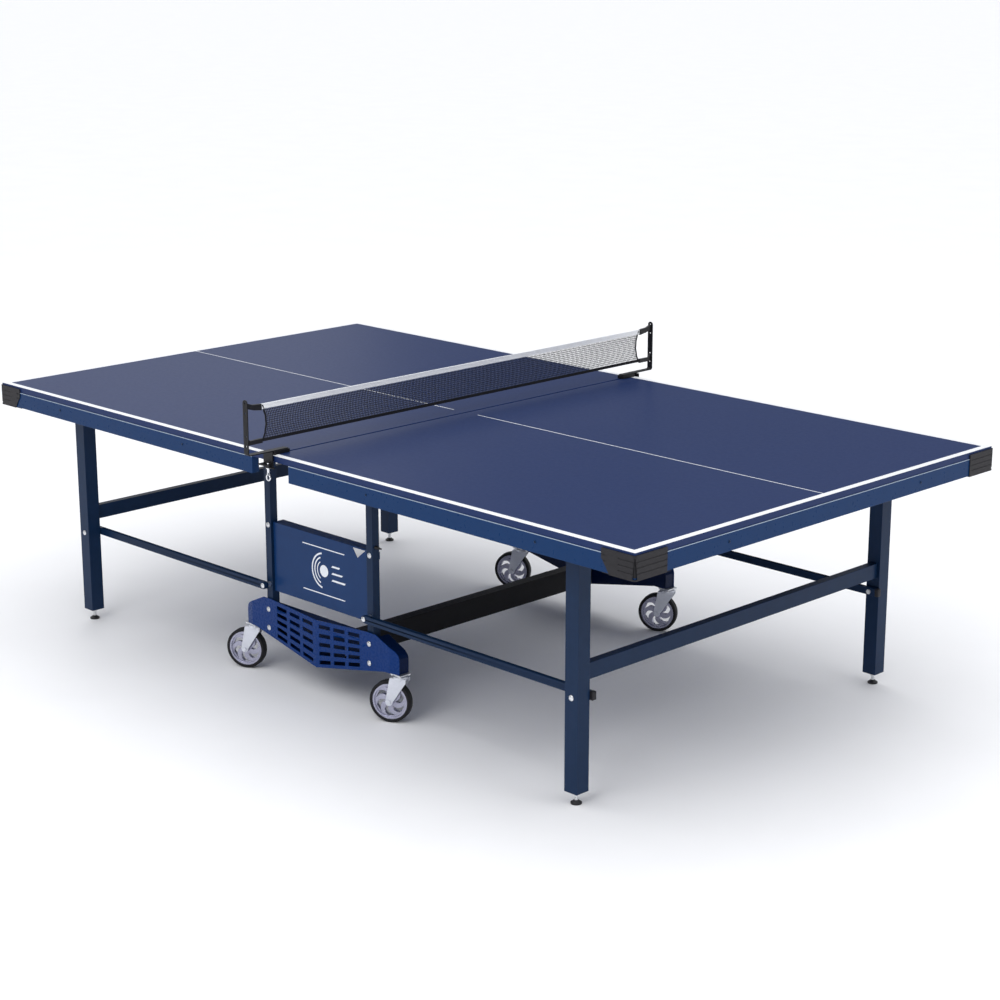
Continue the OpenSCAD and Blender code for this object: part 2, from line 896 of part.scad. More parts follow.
// The net as a plain sheet with bowed ends.
module net() {
    z0 = table_h + net_gap;
    z1 = table_h + net_top;
    bow = 14;
    side = [for (i = [0:8]) [net_end_y - bow * sin(180 * i / 8), z0 + (z1 - z0) * i / 8]];
    color("#20242e")
        translate([-net_t / 2, 0, 0])
            rotate([90, 0, 90])
                linear_extrude(net_t)
                    polygon(concat(side, [for (i = [8:-1:0]) [-side[i][0], side[i][1]]]));
}

// ---------- the model ----------

crossbeam();
color("#16316a") on_side(1, -1) base_channel_shape();  // base_channel_near
color("#16316a") on_side(1, 1) base_channel_shape();  // base_channel_far
color("#1b3a80") on_side(1, -1) side_cover_shape();  // side_cover_near
color("#1b3a80") on_side(1, 1) side_cover_shape();  // side_cover_far
color("#1c3257") on_side(-1, -1) post_shape();  // post_near_left
color("#1c3257") on_side(1, -1) post_shape();  // post_near_right
color("#1c3257") on_side(-1, 1) post_shape();  // post_far_left
color("#1c3257") on_side(1, 1) post_shape();  // post_far_right
rack_panel();
caster_plates();
chassis_bolts();
pivot_bolts();
fork(-1, -1);  // fork_near_left
fork(1, -1);  // fork_near_right
fork(-1, 1);  // fork_far_left
fork(1, 1);  // fork_far_right
wheel(-1, -1);  // wheel_near_left
wheel(1, -1);  // wheel_near_right
wheel(-1, 1);  // wheel_far_left
wheel(1, 1);  // wheel_far_right
tyre(-1, -1);  // tyre_near_left
tyre(1, -1);  // tyre_near_right
tyre(-1, 1);  // tyre_far_left
tyre(1, 1);  // tyre_far_right
board(-1);  // board_left
board(1);  // board_right
apron(-1);  // apron_left
apron(1);  // apron_right
corner_cap(-1, -1);  // corner_cap_near_left
corner_cap(1, -1);  // corner_cap_near_right
corner_cap(-1, 1);  // corner_cap_far_left
corner_cap(1, 1);  // corner_cap_far_right
under_frame(-1);  // under_frame_left
under_frame(1);  // under_frame_right
leg(-1, -1);  // leg_near_left
leg(1, -1);  // leg_near_right
leg(-1, 1);  // leg_far_left
leg(1, 1);  // leg_far_right
leg_crossbar(-1);  // leg_crossbar_left
leg_crossbar(1);  // leg_crossbar_right
leg_bolts(-1);  // leg_bolts_left
leg_bolts(1);  // leg_bolts_right
foot(-1, -1);  // foot_near_left
foot(1, -1);  // foot_near_right
foot(-1, 1);  // foot_far_left
foot(1, 1);  // foot_far_right
link(-1, -1);  // link_near_left
link(1, -1);  // link_near_right
link(-1, 1);  // link_far_left
link(1, 1);  // link_far_right
net_bracket(-1);  // net_bracket_near
net_bracket(1);  // net_bracket_far
net_arms();
clamp_jaw(-1);  // clamp_jaw_near
clamp_jaw(1);  // clamp_jaw_far
eye_screw(-1);  // eye_screw_near
eye_screw(1);  // eye_screw_far
net();
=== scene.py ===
"""Looks of a folding table tennis table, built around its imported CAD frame."""

import json
import math
import random

import bmesh
import bpy
from mathutils import Matrix, Vector


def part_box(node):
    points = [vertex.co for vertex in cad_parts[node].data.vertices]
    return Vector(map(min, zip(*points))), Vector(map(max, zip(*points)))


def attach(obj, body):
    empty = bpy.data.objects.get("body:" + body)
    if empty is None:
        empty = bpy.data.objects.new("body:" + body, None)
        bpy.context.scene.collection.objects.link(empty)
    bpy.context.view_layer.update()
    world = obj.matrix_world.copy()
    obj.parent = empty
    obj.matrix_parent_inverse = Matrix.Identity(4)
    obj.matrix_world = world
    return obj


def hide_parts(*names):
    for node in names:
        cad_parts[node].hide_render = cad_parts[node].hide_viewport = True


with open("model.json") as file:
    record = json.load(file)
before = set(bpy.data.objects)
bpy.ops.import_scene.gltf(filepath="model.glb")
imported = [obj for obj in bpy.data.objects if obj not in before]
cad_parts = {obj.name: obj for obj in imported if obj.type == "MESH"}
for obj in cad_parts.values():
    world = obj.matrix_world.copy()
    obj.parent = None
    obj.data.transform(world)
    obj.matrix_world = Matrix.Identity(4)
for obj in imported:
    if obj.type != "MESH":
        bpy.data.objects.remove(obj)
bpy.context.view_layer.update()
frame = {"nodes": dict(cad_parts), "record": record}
nodes = frame["nodes"]
MM = 0.001
SIDES = (("left", -1), ("right", 1))
EDGES = (("near", -1), ("far", 1))

# ---------- camera, light and floor ----------

CAMERA_AT = (4.6542, -4.4791, 2.2293)
CAMERA_AZIMUTH = math.radians(45.173)
CAMERA_ELEVATION = math.radians(15.126)
CAMERA_LENS = 78.276
SENSOR_WIDTH = 36
CLIP_START, CLIP_END = 0.05, 100

# What the lights face.
CENTRE = Vector((0, 0, 0.5))

# Name, place, side of the square and power in watts of each light.
SOFTBOXES = (
    ("key", (1.5, -6.0, 4.5), 4.0, 120),
    ("end_fill", (6.5, 1.0, 3.0), 3.5, 45),
    ("back", (-6.5, 3.5, 3.2), 3.0, 16),
)

# Studio walls and ceiling: pale at the horizon, dark above it, bright overhead.
SKY = (
    (0.0, (0.70, 0.71, 0.73)),
    (0.05, (0.60, 0.61, 0.63)),
    (0.13, (0.04, 0.045, 0.055)),
    (0.36, (0.035, 0.04, 0.05)),
    (0.62, (0.97, 0.98, 1.0)),
)
SKY_STRENGTH = 1.5
RAMP_STOPS = 2

FLOOR_SIZE = 400
FLOOR_DROP = 0.5 * MM


def make_camera():
    """The photo's view, without a lens shift."""
    data = bpy.data.cameras.new("camera")
    data.sensor_width = SENSOR_WIDTH
    data.lens = CAMERA_LENS
    data.clip_start, data.clip_end = CLIP_START, CLIP_END
    camera = bpy.data.objects.new("camera", data)
    bpy.context.scene.collection.objects.link(camera)
    flat = math.cos(CAMERA_ELEVATION)
    back = Vector(
        (
            math.sin(CAMERA_AZIMUTH) * flat,
            -math.cos(CAMERA_AZIMUTH) * flat,
            math.sin(CAMERA_ELEVATION),
        )
    )
    camera.location = CAMERA_AT
    camera.rotation_mode = "QUATERNION"
    camera.rotation_quaternion = (-back).to_track_quat("-Z", "Y")
    bpy.context.scene.camera = camera


def softbox(name, place, size, power):
    """A square area light that faces the table."""
    data = bpy.data.lights.new(name, "AREA")
    data.size = size
    data.energy = power
    light = bpy.data.objects.new(name, data)
    light.location = place
    light.rotation_mode = "QUATERNION"
    light.rotation_quaternion = (CENTRE - Vector(place)).to_track_quat("-Z", "Y")
    bpy.context.scene.collection.objects.link(light)


def make_studio():
    """The sky, graded by height, and the softboxes."""
    bpy.context.scene.view_settings.view_transform = "Standard"
    world = bpy.data.worlds.new("studio")
    bpy.context.scene.world = world
    world.use_nodes = True
    tree = world.node_tree
    background = tree.nodes["Background"]
    coords = tree.nodes.new("ShaderNodeTexCoord")
    split = tree.nodes.new("ShaderNodeSeparateXYZ")
    ramp = tree.nodes.new("ShaderNodeValToRGB")
    tree.links.new(coords.outputs["Generated"], split.inputs[0])
    tree.links.new(split.outputs["Z"], ramp.inputs["Fac"])
    tree.links.new(ramp.outputs["Color"], background.inputs["Color"])
    stops = ramp.color_ramp.elements
    for height, _ in SKY[RAMP_STOPS:]:
        stops.new(height)
    for stop, (height, colour) in zip(stops, SKY):
        stop.position = height
        stop.color = (*colour, 1)
    background.inputs["Strength"].default_value = SKY_STRENGTH
    for box in SOFTBOXES:
        softbox(*box)


def make_floor():
    """A plain pale floor, just under the wheels and feet."""
    bpy.ops.mesh.primitive_plane_add(size=FLOOR_SIZE, location=(0, 0, -FLOOR_DROP))
    floor = bpy.context.object
    floor.name = "studio_floor"
    look = surface("floor_pale", (0.93, 0.93, 0.94), (0.55, 0.65), grain=3, spread=0.01)
    floor.data.materials.append(look)


# ---------- materials ----------

# Nearly all of a noise texture's values lie between these.
NOISE_LOW, NOISE_HIGH = 0.3, 0.7
# FINE_GRAIN is how many times finer the drift in roughness is than the one in colour.
BROAD_DETAIL, FINE_DETAIL, BUMP_DETAIL = 4.0, 5.0, 2.0
FINE_GRAIN = 3.7
COAT_ROUGHNESS = 0.12
BUMP_DISTANCE = 0.4 * MM

SPLIT_GRAIN = 350.0
SPLIT_DETAIL = 3.0
SPLIT_SPREAD = 0.15


def add_node(tree, kind, **inputs):
    """A shader node with some inputs set; From_Min stands for the input "From Min"."""
    node = tree.nodes.new("ShaderNode" + kind)
    for name, value in inputs.items():
        node.inputs[name.replace("_", " ")].default_value = value
    return node


def noise(tree, coords, scale, detail, stretch=None):
    """A noise texture in the object's own coordinates, stretched along some axes."""
    node = add_node(tree, "TexNoise", Scale=scale, Detail=detail)
    source = coords.outputs["Object"]
    if stretch is not None:
        mapping = add_node(tree, "Mapping", Scale=stretch)
        tree.links.new(source, mapping.inputs["Vector"])
        source = mapping.outputs["Vector"]
    tree.links.new(source, node.inputs["Vector"])
    return node.outputs["Fac"]


def ranged(tree, source, low, high):
    """A noise, mapped to low..high."""
    node = add_node(
        tree, "MapRange", From_Min=NOISE_LOW, From_Max=NOISE_HIGH, To_Min=low, To_Max=high
    )
    tree.links.new(source, node.inputs["Value"])
    return node.outputs["Result"]


def two_tone(tree, source, first, second):
    """A noise, mapped to the colours from first to second."""
    ramp = tree.nodes.new("ShaderNodeValToRGB")
    stops = ramp.color_ramp.elements
    stops[0].position, stops[1].position = NOISE_LOW, NOISE_HIGH
    stops[0].color, stops[1].color = (*first, 1), (*second, 1)
    tree.links.new(source, ramp.inputs["Fac"])
    return ramp.outputs["Color"]


def surface(
    name,
    colour,
    rough,
    metallic=0.0,
    grain=60.0,
    spread=0.12,
    bump=0.0,
    bump_scale=900.0,
    stretch=None,
    coat=0.0,
    sheen=0.0,
    specular=0.5,
):
    """A principled material whose colour and roughness drift, with a fine bump."""
    material = bpy.data.materials.new(name)
    material.use_nodes = True
    tree = material.node_tree
    shader = tree.nodes["Principled BSDF"]
    coords = tree.nodes.new("ShaderNodeTexCoord")
    broad = noise(tree, coords, grain, BROAD_DETAIL, stretch)
    darker = [c * (1 - spread) for c in colour]
    lighter = [min(1.0, c * (1 + spread)) for c in colour]
    tree.links.new(two_tone(tree, broad, darker, lighter), shader.inputs["Base Color"])
    fine = noise(tree, coords, grain * FINE_GRAIN, FINE_DETAIL, stretch)
    tree.links.new(ranged(tree, fine, *rough), shader.inputs["Roughness"])
    shader.inputs["Metallic"].default_value = metallic
    shader.inputs["Coat Weight"].default_value = coat
    shader.inputs["Coat Roughness"].default_value = COAT_ROUGHNESS
    shader.inputs["Sheen Weight"].default_value = sheen
    shader.inputs["Specular IOR Level"].default_value = specular
    if bump:
        node = add_node(tree, "Bump", Strength=bump, Distance=BUMP_DISTANCE)
        height = noise(tree, coords, bump_scale, BUMP_DETAIL, stretch)
        tree.links.new(height, node.inputs["Height"])
        tree.links.new(node.outputs["Normal"], shader.inputs["Normal"])
    return material


def split_by_height(name, height, below, above):
    """One (colour, roughness, metallic) below a height at rest, another above it."""
    material = bpy.data.materials.new(name)
    material.use_nodes = True
    tree = material.node_tree
    tree.nodes.remove(tree.nodes["Principled BSDF"])
    output = tree.nodes["Material Output"]
    coords = tree.nodes.new("ShaderNodeTexCoord")
    split = tree.nodes.new("ShaderNodeSeparateXYZ")
    tree.links.new(coords.outputs["Object"], split.inputs[0])
    mix = tree.nodes.new("ShaderNodeMixShader")
    step = tree.nodes.new("ShaderNodeMath")
    step.operation = "GREATER_THAN"
    step.inputs[1].default_value = height
    tree.links.new(split.outputs["Z"], step.inputs[0])
    tree.links.new(step.outputs[0], mix.inputs["Fac"])
    for index, (colour, roughness, metallic) in enumerate((below, above)):
        shader = add_node(tree, "BsdfPrincipled", Metallic=metallic)
        grain = noise(tree, coords, SPLIT_GRAIN, SPLIT_DETAIL)
        shade = [c * (1 - SPLIT_SPREAD) for c in colour]
        smoother, rougher = roughness * (1 - SPLIT_SPREAD), roughness * (1 + SPLIT_SPREAD)
        tree.links.new(two_tone(tree, grain, shade, colour), shader.inputs["Base Color"])
        tree.links.new(ranged(tree, grain, smoother, rougher), shader.inputs["Roughness"])
        tree.links.new(shader.outputs["BSDF"], mix.inputs[1 + index])
    tree.links.new(mix.outputs["Shader"], output.inputs["Surface"])
    return material


BLACK = (0.007, 0.007, 0.009)
ZINC = (0.74, 0.75, 0.77)
SURFACES = {
    "board_lacquer": dict(
        colour=(0.009, 0.025, 0.098), rough=(0.36, 0.39), grain=22, spread=0.02,
        bump=0.02, bump_scale=700, specular=0.16,
    ),
    "line_paint": dict(
        colour=(0.86, 0.87, 0.89), rough=(0.35, 0.45), grain=40, spread=0.03, bump=0.05,
    ),
    "apron_steel": dict(
        colour=(0.003, 0.030, 0.108), rough=(0.27, 0.30), grain=30, spread=0.03,
        bump=0.006, bump_scale=420, specular=0.12,
    ),
    "cover_steel": dict(
        colour=(0.001, 0.028, 0.150), rough=(0.26, 0.29), grain=35, spread=0.03,
        bump=0.006, bump_scale=420, specular=0.14,
    ),
    # Painted shade: a darker copy of the frame's blue steel; the whole base channel is darkened
    # to stand in for the shade on its end faces.
    "channel_steel_painted_shade": dict(
        colour=(0.002, 0.010, 0.046), rough=(0.27, 0.31), grain=35, spread=0.04,
        bump=0.006, bump_scale=420, specular=0.14,
    ),
    # Painted highlight: a pale blue-white colour standing in for the light that the aprons'
    # rolled top edges catch.
    "lip_highlight_paint": dict(
        colour=(0.34, 0.42, 0.52), rough=(0.25, 0.35), spread=0.05,
        bump=0.02, bump_scale=600,
    ),
    "frame_steel": dict(
        colour=(0.006, 0.022, 0.062), rough=(0.30, 0.36), grain=30, spread=0.05,
        bump=0.03, bump_scale=520, specular=0.14,
    ),
    "panel_steel": dict(
        colour=(0.006, 0.034, 0.122), rough=(0.28, 0.33), grain=30, spread=0.04,
        bump=0.02, bump_scale=420, specular=0.14,
    ),
    "black_steel": dict(
        colour=BLACK, rough=(0.42, 0.52), grain=40, spread=0.15,
        bump=0.06, bump_scale=800, specular=0.16,
    ),
    "net_steel": dict(
        colour=BLACK, rough=(0.34, 0.46), grain=70, spread=0.2, bump=0.08, specular=0.25,
    ),
    "zinc": dict(
        colour=ZINC, rough=(0.26, 0.40), metallic=0.9, grain=120, spread=0.07,
        bump=0.06, bump_scale=1500,
    ),
    "chrome_wire": dict(
        colour=(0.86, 0.87, 0.9), rough=(0.08, 0.14), metallic=1.0, grain=160, spread=0.03,
    ),
    "fork_metal": dict(
        colour=(0.68, 0.70, 0.77), rough=(0.28, 0.36), metallic=0.3, grain=70, spread=0.04,
        bump=0.02, bump_scale=1200, coat=0.2,
    ),
    "wheel_plastic": dict(
        colour=(0.42, 0.42, 0.53), rough=(0.18, 0.24), metallic=0.75, spread=0.03,
        bump=0.008, coat=0.2,
    ),
    "tyre_rubber": dict(
        colour=(0.009, 0.009, 0.011), rough=(0.55, 0.7), grain=90, spread=0.25,
        bump=0.15, bump_scale=1100, specular=0.25,
    ),
    "cap_plastic": dict(
        colour=(0.015, 0.014, 0.017), rough=(0.42, 0.54), grain=90, spread=0.15,
        bump=0.15, bump_scale=1300, specular=0.25,
    ),
    "arm_plastic": dict(
        colour=(0.010, 0.010, 0.012), rough=(0.38, 0.5), grain=110, spread=0.15,
        bump=0.12, bump_scale=1500, specular=0.3,
    ),
    "net_fabric": dict(
        colour=(0.016, 0.016, 0.022), rough=(0.7, 0.85), grain=400, spread=0.3,
        bump=0.5, bump_scale=2600, stretch=(1, 1, 0.3), specular=0.15,
    ),
    "hem_fabric": dict(
        colour=(0.012, 0.012, 0.015), rough=(0.75, 0.9), grain=500, spread=0.25,
        bump=0.6, bump_scale=2200, stretch=(1, 0.25, 1), specular=0.2,
    ),
    "tape_fabric": dict(
        colour=(0.82, 0.83, 0.85), rough=(0.65, 0.8), grain=500, spread=0.06,
        bump=0.6, bump_scale=2200, stretch=(1, 0.25, 1), sheen=0.3,
    ),
    "emblem_ink": dict(
        colour=(0.80, 0.83, 0.88), rough=(0.35, 0.5), grain=200, spread=0.06, bump=0.1,
    ),
}
# Nodes that are dark plastic and bright metal at once, parted at a height.
SPLIT_SURFACES = {
    "foot_plastic": dict(height=0.0102, below=(BLACK, 0.5, 0.0), above=(ZINC, 0.3, 0.9)),
    "bolt_and_peg": dict(height=0.492, below=(ZINC, 0.3, 0.9), above=(BLACK, 0.45, 0.0)),
}
LOOKS = {name: surface(name, **values) for name, values in SURFACES.items()}
LOOKS.update((name, split_by_height(name, **values)) for name, values in SPLIT_SURFACES.items())

# Nodes that don't take the look named by their material slot, by how their names start.
OWN_LOOKS = {
    "fork_": "fork_metal",
    # The base channel takes a darker blue as painted shade for its shaded end faces.
    "base_channel": "channel_steel_painted_shade",
    "chassis_bolts": "bolt_and_peg",
}
# Edge rounding in millimetres, by the first word of a node's name.
SOFT_EDGES = {
    "board": 0.8, "apron": 1.0, "corner": 0.9, "leg": 1.2, "post": 1.2, "link": 0.8,
    "rack": 0.6, "side": 0.5, "base": 0.6, "crossbeam": 1.5, "under": 0.6, "fork": 0.5,
    "wheel": 0.5, "net": 0.5, "clamp": 0.5, "caster": 0.4,
}
SHARP_NODES = ("leg_bolts",)
WELD_DISTANCE = 1e-6
EDGE_SEGMENTS = 2
EDGE_ANGLE = math.radians(40)


def soften(node, width):
    """Rounds a node's sharp edges."""
    weld = node.modifiers.new("weld", "WELD")
    weld.merge_threshold = WELD_DISTANCE
    bevel = node.modifiers.new("bevel", "BEVEL")
    bevel.width = width
    bevel.segments = EDGE_SEGMENTS
    bevel.limit_method = "ANGLE"
    bevel.angle_limit = EDGE_ANGLE
    bevel.harden_normals = True
    bevel.use_clamp_overlap = True


def dress_cad():
    """Gives every CAD node its material and softens its sharp edges."""
    look_of = {row["node"]: row["material_slot"] for row in frame["record"]["subparts"]}
    for name, node in nodes.items():
        look = look_of[name]
        for start, own in OWN_LOOKS.items():
            if name.startswith(start):
                look = own
        node.data.materials.clear()
        node.data.materials.append(LOOKS[look])
        kind = name.split("_")[0]
        if kind in SOFT_EDGES and not name.startswith(SHARP_NODES):
            soften(node, SOFT_EDGES[kind] * MM)


# ---------- mesh helpers ----------

SMOOTH_ANGLE = math.radians(35)
LATHE_STEPS = 24
AXES = ((1, 0, 0), (0, 1, 0), (0, 0, 1))
BOX_FACES = (
    (0, 1, 3, 2), (4, 6, 7, 5), (0, 4, 5, 1), (2, 3, 7, 6), (0, 2, 6, 4), (1, 5, 7, 3),
)


def add_piece(name, mesh, looks, body):
    """Links a finished mesh in the row frame, gives it its looks and puts it on a body."""
    piece = bpy.data.objects.new(name, mesh)
    bpy.context.scene.collection.objects.link(piece)
    for look in looks:
        mesh.materials.append(LOOKS[look])
    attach(piece, body)
    return piece


def mesh_from(name, build, smooth=True):
    """A mesh made by build(bm); when smooth, only its sharp edges stay sharp."""
    mesh = bpy.data.meshes.new(name)
    bm = bmesh.new()
    build(bm)
    bmesh.ops.recalc_face_normals(bm, faces=bm.faces)
    bm.to_mesh(mesh)
    bm.free()
    if smooth:
        for polygon in mesh.polygons:
            polygon.use_smooth = True
        mesh.set_sharp_from_angle(angle=SMOOTH_ANGLE)
    return mesh


def span(sign, start, stop):
    """A range on one side of the middle, in ascending order."""
    return sorted((sign * start, sign * stop))


def reach(node):
    """How far a node goes from the middle: its inner x, outer x, half-width and top."""
    low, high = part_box(node)
    inner, outer = sorted((abs(low.x), abs(high.x)))
    return inner, outer, high.y, high.z


def use_second_look(bm, start):
    """Gives the faces from number start on the mesh's second material."""
    bm.faces.ensure_lookup_table()
    for face in bm.faces[start:]:
        face.material_index = 1


def put_tube(bm, rings):
    """A closed solid whose walls join each ring of points to the next."""
    for a, b in zip(rings, rings[1:]):
        for k in range(len(a)):
            n = (k + 1) % len(a)
            bm.faces.new((a[k], b[k], b[n], a[n]))
    bm.faces.new(rings[0])
    bm.faces.new(list(reversed(rings[-1])))


def put_box(bm, low, high, round_r=0.0, segments=1):
    """A box, with rounded edges when round_r is given."""
    xs, ys, zs = zip(low, high)
    verts = [bm.verts.new((x, y, z)) for x in xs for y in ys for z in zs]
    for face in BOX_FACES:
        bm.faces.new([verts[i] for i in face])
    if round_r:
        edges = list({e for v in verts for e in v.link_edges})
        bmesh.ops.bevel(
            bm, geom=edges, offset=round_r, segments=segments, profile=0.5, affect="EDGES"
        )


def put_knot(bm, middle, radius):
    """A small eight-sided bead."""
    tips = [
        [bm.verts.new(middle + Vector(axis) * radius * way) for way in (-1, 1)] for axis in AXES
    ]
    for a in tips[0]:
        for b in tips[1]:
            for c in tips[2]:
                bm.faces.new((a, b, c))


def put_lathe(bm, profile, matrix):
    """A closed turned solid: profile is (radius, height) pairs, ends at radius 0."""
    steps = LATHE_STEPS
    turns = [2 * math.pi * i / steps for i in range(steps)]
    rings = []
    for radius, height in profile:
        if radius == 0:
            rings.append([bm.verts.new(matrix @ Vector((0, 0, height)))])
            continue
        ring = [Vector((radius * math.cos(a), radius * math.sin(a), height)) for a in turns]
        rings.append([bm.verts.new(matrix @ point) for point in ring])
    for a, b in zip(rings, rings[1:]):
        for i in range(steps):
            j = (i + 1) % steps
            if len(a) == 1:
                bm.faces.new((a[0], b[i], b[j]))
            elif len(b) == 1:
                bm.faces.new((a[j], a[i], b[0]))
            else:
                bm.faces.new((a[i], b[i], b[j], a[j]))


def put_sweep(bm, points, sides, radius, flat=1.0, turn=0.0):
    """A cord with "sides" sides along points at one X; flat squashes it along X."""
    rings = []
    last = len(points) - 1
    for i, point in enumerate(points):
        ahead = (points[min(i + 1, last)] - points[max(i - 1, 0)]).normalized()
        across = Vector((1, 0, 0))
        up = ahead.cross(across).normalized()
        ring = []
        for k in range(sides):
            angle = turn + 2 * math.pi * k / sides
            offset = across * math.cos(angle) * radius * flat + up * math.sin(angle) * radius
            ring.append(bm.verts.new(point + offset))
        rings.append(ring)
    put_tube(bm, rings)


# ---------- table top ----------

LINE_W = 20 * MM
LINE_H = 0.25 * MM
LINE_INSET = 0.8 * MM
JOINT_INSET = 3.2 * MM
CENTRE_LINE_W = 3 * MM
CENTRE_LINE_START = 52 * MM


def make_lines(side, sign):
    """The printed white lines of one half: round its three outer edges and down its middle."""
    inner, outer, half_w, top = reach(f"board_{side}")
    inner += JOINT_INSET
    outer -= LINE_INSET
    edge = half_w - LINE_INSET

    def strip(bm, x0, x1, y0, y1):
        xs = span(sign, x0, x1)
        put_box(bm, (xs[0], y0, top - LINE_H), (xs[1], y1, top + LINE_H))

    def build(bm):
        strip(bm, inner, outer, -edge, -edge + LINE_W)
        strip(bm, inner, outer, edge - LINE_W, edge)
        strip(bm, outer - LINE_W, outer, -edge + LINE_W, edge - LINE_W)
        strip(bm, CENTRE_LINE_START, outer - LINE_W, -CENTRE_LINE_W / 2, CENTRE_LINE_W / 2)

    mesh = mesh_from(f"white_lines_{side}", build, smooth=False)
    add_piece(mesh.name, mesh, ["line_paint"], f"half_{side}")


# Radius and height along a pan-head screw, then its cross recess, in millimetres. The recess is a
# dark cross laid into the head: painted shade where a real recess would be shaded.
SCREW_PROFILE = ((0, -0.5), (4.0, -0.5), (4.0, 0.4), (3.6, 1.3), (2.6, 2.0), (1.2, 2.3), (0, 2.4))
RECESS_L, RECESS_W, RECESS_H = 3.8, 0.7, 0.9
RECESS_Z = 2.0

SIDE_SCREWS_X = (0.407, 1.040)
SIDE_SCREWS_Z = 0.721
END_SCREWS_Y = 0.412
END_SCREWS_Z = 0.718


def put_screw(bm, place, normal):
    """A pan-head screw with a cross recess, standing on a face at place; the recess is a dark
    cross of painted shade, not a cut.
    """
    turn = Vector(normal).to_track_quat("Z", "Y").to_matrix().to_4x4()
    matrix = Matrix.Translation(place) @ turn
    put_lathe(bm, [(r * MM, h * MM) for r, h in SCREW_PROFILE], matrix)
    # The recess is not cut: two dark bars in the second material are laid into the head as
    # painted shade.
    start = len(bm.faces)
    for size_x, size_y in ((RECESS_L, RECESS_W), (RECESS_W, RECESS_L)):
        for v in bmesh.ops.create_cube(bm, size=1.0)["verts"]:
            x, y, z = v.co.x * size_x, v.co.y * size_y, RECESS_Z + v.co.z * RECESS_H
            v.co = matrix @ (Vector((x, y, z)) * MM)
    use_second_look(bm, start)


def make_apron_screws(side, sign):
    """The screws along one apron: two on each long side and two at its end."""
    _, out_x, out_y, _ = reach(f"apron_{side}")

    def build(bm):
        for y in (-1, 1):
            for x in SIDE_SCREWS_X:
                put_screw(bm, Vector((sign * x, y * out_y, SIDE_SCREWS_Z)), (0, y, 0))
            put_screw(bm, Vector((sign * out_x, y * END_SCREWS_Y, END_SCREWS_Z)), (sign, 0, 0))

    mesh = mesh_from(f"apron_screws_{side}", build)
    # The second look, black, paints the shade inside the cross recesses.
    add_piece(mesh.name, mesh, ["frame_steel", "black_steel"], f"half_{side}")


CAP_REACH = 72 * MM
LIP_START = 1 * MM
LIP_BELOW, LIP_ABOVE = 1.7 * MM, 0.1 * MM
LIP_SUNK, LIP_PROUD = 0.5 * MM, 0.35 * MM


def make_lip_highlight_paint(side, sign):
    """A pale strip painted as the highlight that the rolled edge along the top of an apron
    catches, between its corner caps.
    """
    in_x, out_x, out_y, top = reach(f"apron_{side}")
    cap_x, cap_y = out_x - CAP_REACH, out_y - CAP_REACH
    z0, z1 = top - LIP_BELOW, top + LIP_ABOVE

    def build(bm):
        xs = span(sign, in_x + LIP_START, cap_x)
        for y in (-1, 1):
            ys = span(y, out_y - LIP_SUNK, out_y + LIP_PROUD)
            put_box(bm, (xs[0], ys[0], z0), (xs[1], ys[1], z1))
        ends = span(sign, out_x - LIP_SUNK, out_x + LIP_PROUD)
        put_box(bm, (ends[0], -cap_y, z0), (ends[1], cap_y, z1))

    mesh = mesh_from(f"lip_highlight_paint_{side}", build, smooth=False)
    add_piece(mesh.name, mesh, ["lip_highlight_paint"], f"half_{side}")


GASKET_SUNK, GASKET_PROUD = 6 * MM, 0.8 * MM
GASKET_Z = (0.6985, 0.7470)
GASKET_ROUND = 0.3 * MM


def make_cap_gaskets(side, sign):
    """The dark rubber strips behind the notches of the corner caps."""
    _, out_x, out_y, _ = reach(f"apron_{side}")

    def build(bm):
        xs = span(sign, out_x - GASKET_SUNK, out_x + GASKET_PROUD)
        for y in (-1, 1):
            ys = span(y, out_y - GASKET_SUNK, out_y + GASKET_PROUD)
            low, high = zip(xs, ys, GASKET_Z)
            put_box(bm, low, high, GASKET_ROUND)

    mesh = mesh_from(f"cap_gaskets_{side}", build, smooth=False)
    add_piece(mesh.name, mesh, ["tyre_rubber"], f"half_{side}")


PLUG_SUNK, PLUG_PROUD = 9 * MM, 3 * MM
PLUG_SKIN = 0.7 * MM
PLUG_ROUND = 1.5 * MM


def make_link_plug(edge, side, sign):
    """The moulded plug in the free end of a link bar."""
    low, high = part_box(f"link_{edge}_{side}")
    end = max(abs(low.x), abs(high.x))
    x0, x1 = span(sign, end - PLUG_SUNK, end + PLUG_PROUD)

    def build(bm):
        start = (x0, low.y - PLUG_SKIN, low.z - PLUG_SKIN)
        stop = (x1, high.y + PLUG_SKIN, high.z + PLUG_SKIN)
        put_box(bm, start, stop, PLUG_ROUND, segments=3)

    mesh = mesh_from(f"link_plug_{edge}_{side}", build)
    add_piece(mesh.name, mesh, ["cap_plastic"], f"links_{side}")


# ---------- panel emblem ----------

EMBLEM_AT = (0.016, 0.385)
EMBLEM_THICK, EMBLEM_PROUD = 0.5 * MM, 0.25 * MM
BALL_R, BALL_STEPS = 0.018, 48
ARC_STEPS = 40
# Inner radius, outer radius and half angle of the arcs behind the ball.
ARCS = ((0.050, 0.055, 80), (0.039, 0.043, 68), (0.028, 0.031, 56))
# Height over the ball, start, end and thickness of the rules, then of the short bars.
BARS = (
    (0.068, -0.096, 0.090, 0.003),
    (-0.071, -0.096, 0.090, 0.003),
    (-0.021, 0.033, 0.090, 0.0056),
    (0.0, 0.033, 0.078, 0.0056),
    (0.021, 0.033, 0.066, 0.0056),
)
BAR_LEAN = 0.9


